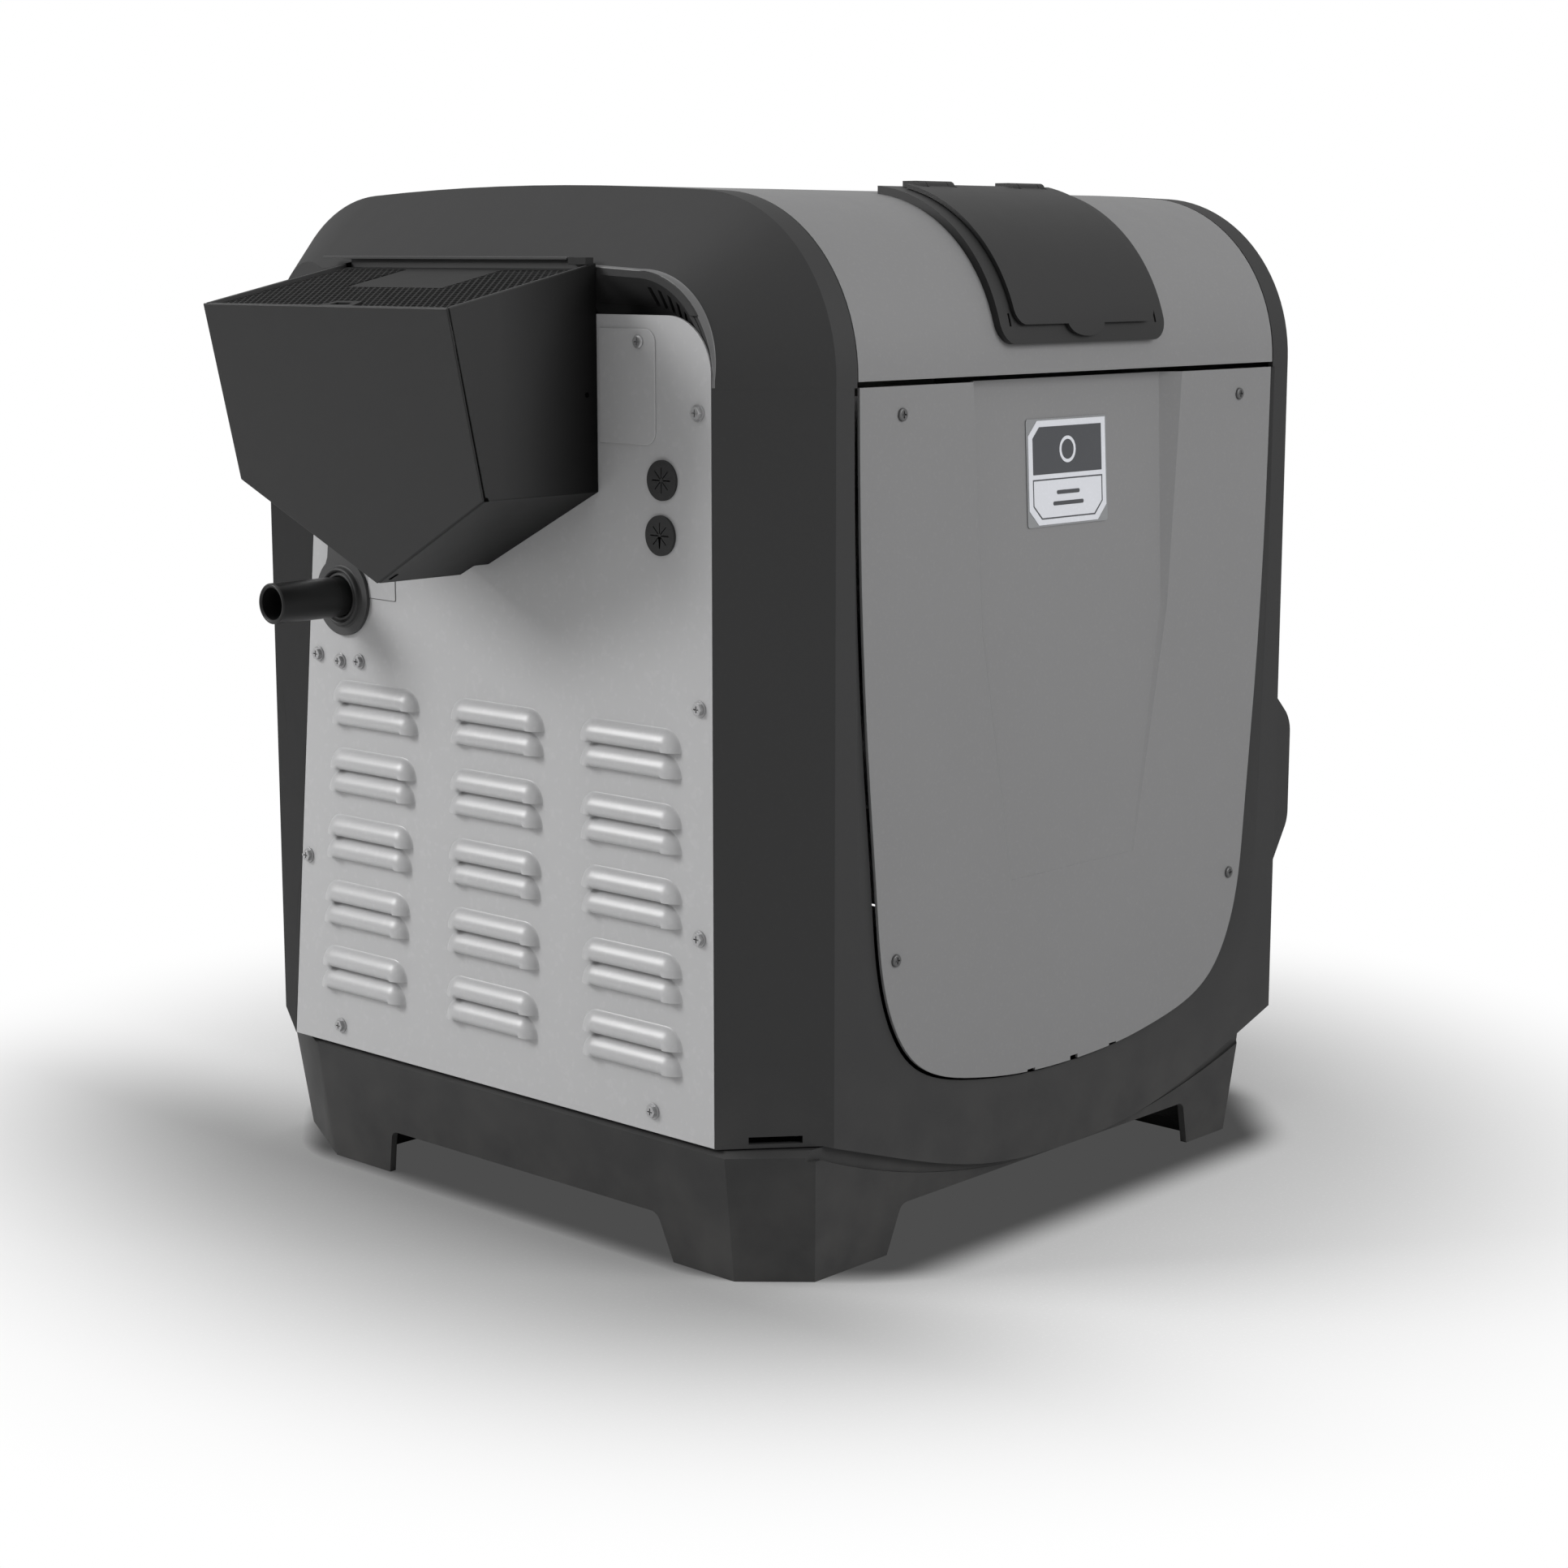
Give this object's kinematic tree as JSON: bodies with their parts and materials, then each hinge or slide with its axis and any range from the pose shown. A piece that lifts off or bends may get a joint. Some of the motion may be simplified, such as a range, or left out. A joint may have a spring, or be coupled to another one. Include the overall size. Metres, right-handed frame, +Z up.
{
  "type": "pool heater",
  "caption": "Floor-standing gas pool heater with louvred sheet side, sloped exhaust hood, domed lid, hinged control cover and union water ports.",
  "frame": {"origin": "centre of the four anchor holes in the base's feet, on the ground plane", "axes": "+Z up, front panel and controls face -Y, louvred panel with the exhaust hood and gas pipe on -X, water ports on +X"},
  "size_m": [0.8119, 0.5256, 0.6657],
  "materials": {
    "dark_trim": "moulded, fine grain",
    "grey_shell": "moulded, satin",
    "light_sheet": "light grey powder coat",
    "hood_paint": "dark powder coat",
    "black_rubber": "matt",
    "black_pipe": "black pipe varnish",
    "zinc_screw": "zinc plated",
    "badge_face": "printed film",
    "cover_plastic": "moulded, fine grain",
    "button_rubber": "matt",
    "display_glass": "gloss",
    "header_plastic": "glass filled",
    "spring_steel": "drawn wire",
    "brass_parts": "machined",
    "lever_steel": "satin",
    "copper_fins": "copper",
    "plain_steel": "galvanised",
    "cast_alloy": "as cast",
    "probe_ceramic": "glazed",
    "motor_black": "moulded",
    "knob_red": "moulded",
    "flue_steel": "stainless",
    "board_green": "solder mask"
  },
  "bodies": {
    "cabinet": {"access_plate": "light_sheet", "air_filter": "motor_black", "air_mixer": "cast_alloy", "badge": "badge_face", "base": "dark_trim", "blower_housing": "cast_alloy", "blower_motor": "motor_black", "board_tray": "plain_steel", "burner": "plain_steel", "burner_probes": "probe_ceramic", "bypass_spring": "spring_steel", "cabinet_screws": "zinc_screw", "combustion_chamber": "plain_steel", "control_bezel": "cover_plastic", "control_board": "board_green", "display_window": "display_glass", "end_cap_left": "dark_trim", "end_cap_right": "dark_trim", "exhaust_hood": "hood_paint", "flue_collector": "flue_steel", "flue_pipe": "flue_steel", "front_panel": "grey_shell", "front_surround": "dark_trim", "gas_grommet": "black_rubber", "gas_pipe": "black_pipe", "gas_supply_tube": "brass_parts", "gas_valve": "cast_alloy", "header_cover": "dark_trim", "heat_exchanger_fins": "copper_fins", "heat_exchanger_tubes": "copper_fins", "hinge_pins": "zinc_screw", "hood_grille": "hood_paint", "inner_frame": "plain_steel", "keypad_housing": "cover_plastic", "lid": "grey_shell", "louvre_panel": "light_sheet", "mixing_elbow": "cast_alloy", "rear_panel": "light_sheet", "rear_posts": "dark_trim", "relief_valve": "brass_parts", "return_header": "header_plastic", "right_panel": "light_sheet", "tube_sheets": "plain_steel", "union_seals": "black_rubber", "union_tailpieces": "header_plastic", "water_header": "header_plastic", "wiring_grommets": "black_rubber"},
    "control_cover": {"control_cover": "cover_plastic"},
    "blower_rotor": {"blower_impeller": "motor_black"},
    "inlet_nut": {"inlet_union_nut": "header_plastic"},
    "outlet_nut": {"outlet_union_nut": "header_plastic"},
    "drain": {"drain_plug": "header_plastic"},
    "relief": {"relief_lever": "lever_steel"},
    "gas_cock": {"gas_knob": "knob_red"},
    "bypass": {"bypass_plunger": "header_plastic"},
    "button_1": {"keypad_button_1": "button_rubber"},
    "button_2": {"keypad_button_2": "button_rubber"},
    "button_3": {"keypad_button_3": "button_rubber"},
    "button_4": {"keypad_button_4": "button_rubber"},
    "button_5": {"keypad_button_5": "button_rubber"}
  },
  "joints": [
    {"name": "cover_hinge", "type": "hinge", "parent": "cabinet", "child": "control_cover", "pos_m": [0, -0.171, 0.6615], "axis": [-1, 0, 0], "range_deg": [0, 105]},
    {"name": "blower_spin", "type": "hinge", "parent": "cabinet", "child": "blower_rotor", "pos_m": [-0.12, -0.028, 0.178], "axis": [1, 0, 0], "continuous": true},
    {"name": "inlet_nut_turn", "type": "hinge", "parent": "cabinet", "child": "inlet_nut", "pos_m": [0.345, -0.088, 0.24], "axis": [1, 0, 0], "continuous": true},
    {"name": "outlet_nut_turn", "type": "hinge", "parent": "cabinet", "child": "outlet_nut", "pos_m": [0.345, 0.032, 0.24], "axis": [1, 0, 0], "continuous": true},
    {"name": "drain_plug_turn", "type": "hinge", "parent": "cabinet", "child": "drain", "pos_m": [0.345, -0.028, 0.215], "axis": [1, 0, 0], "continuous": true},
    {"name": "relief_lever_lift", "type": "hinge", "parent": "cabinet", "child": "relief", "pos_m": [0.308, 0.12, 0.383], "axis": [-1, 0, 0], "range_deg": [0, 80], "stiffness_Nm_per_rad": 0.02, "springref_deg": -20.05},
    {"name": "gas_cock_turn", "type": "hinge", "parent": "cabinet", "child": "gas_cock", "pos_m": [-0.24, 0.155, 0.272], "axis": [0, 1, 0], "range_deg": [0, 90]},
    {"name": "bypass_slide", "type": "slide", "parent": "cabinet", "child": "bypass", "axis": [0, 0, -1], "range_m": [0, 0.01], "stiffness_N_per_m": 400, "deforming": ["bypass_spring"]},
    {"name": "button_1_press", "type": "slide", "parent": "cabinet", "child": "button_1", "axis": [0, 0.6428, -0.766], "range_m": [0, 0.0015], "stiffness_N_per_m": 400},
    {"name": "button_2_press", "type": "slide", "parent": "cabinet", "child": "button_2", "axis": [0, 0.6428, -0.766], "range_m": [0, 0.0015], "stiffness_N_per_m": 400},
    {"name": "button_3_press", "type": "slide", "parent": "cabinet", "child": "button_3", "axis": [0, 0.6428, -0.766], "range_m": [0, 0.0015], "stiffness_N_per_m": 400},
    {"name": "button_4_press", "type": "slide", "parent": "cabinet", "child": "button_4", "axis": [0, 0.6428, -0.766], "range_m": [0, 0.0015], "stiffness_N_per_m": 400},
    {"name": "button_5_press", "type": "slide", "parent": "cabinet", "child": "button_5", "axis": [0, 0.6428, -0.766], "range_m": [0, 0.0015], "stiffness_N_per_m": 400}
  ]
}
